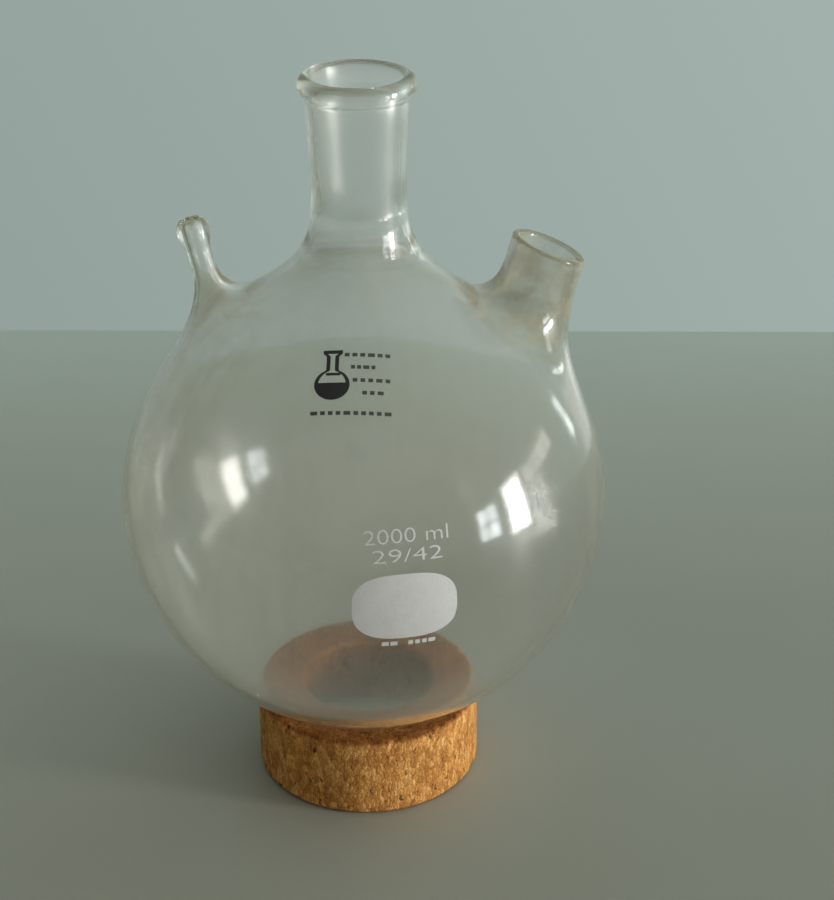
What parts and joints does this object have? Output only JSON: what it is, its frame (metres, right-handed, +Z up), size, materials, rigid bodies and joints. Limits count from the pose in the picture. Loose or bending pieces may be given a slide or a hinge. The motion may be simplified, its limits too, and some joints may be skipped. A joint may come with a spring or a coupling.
{
  "type": "three-neck round-bottom flask on a cork ring",
  "caption": "Round-bottom laboratory flask with a ground centre joint, an angled side neck and a small beaded inlet tube, resting on a cork ring stand.",
  "frame": {"origin": "centre of the cork ring's underside, on the surface the ring stands on", "axes": "+Z up along the flask's axis; +X towards the side neck, which stands 11 degrees round from +X towards +Y; -Y towards the printed front"},
  "size_m": [0.1658, 0.1664, 0.2565],
  "materials": {
    "glass": "polished",
    "cork": "matte",
    "white_enamel": "matte",
    "black_enamel": "matte"
  },
  "bodies": {
    "ring": {"cork_ring": "cork"},
    "flask": {"bulb": "glass", "centre_joint": "glass", "side_neck": "glass", "inlet_tube": "glass", "writing_spot": "white_enamel", "capacity_mark": "white_enamel", "glass_type_mark": "white_enamel", "number_mark": "white_enamel", "label_symbol": "black_enamel", "label_line_1": "black_enamel", "label_line_2": "black_enamel", "label_line_3": "black_enamel", "label_line_4": "black_enamel", "label_line_5": "black_enamel"}
  },
  "joints": [
    {"name": "flask_lift", "type": "slide", "parent": "ring", "child": "flask", "axis": [0, 0, 1], "range_m": [0, 0.08]}
  ]
}
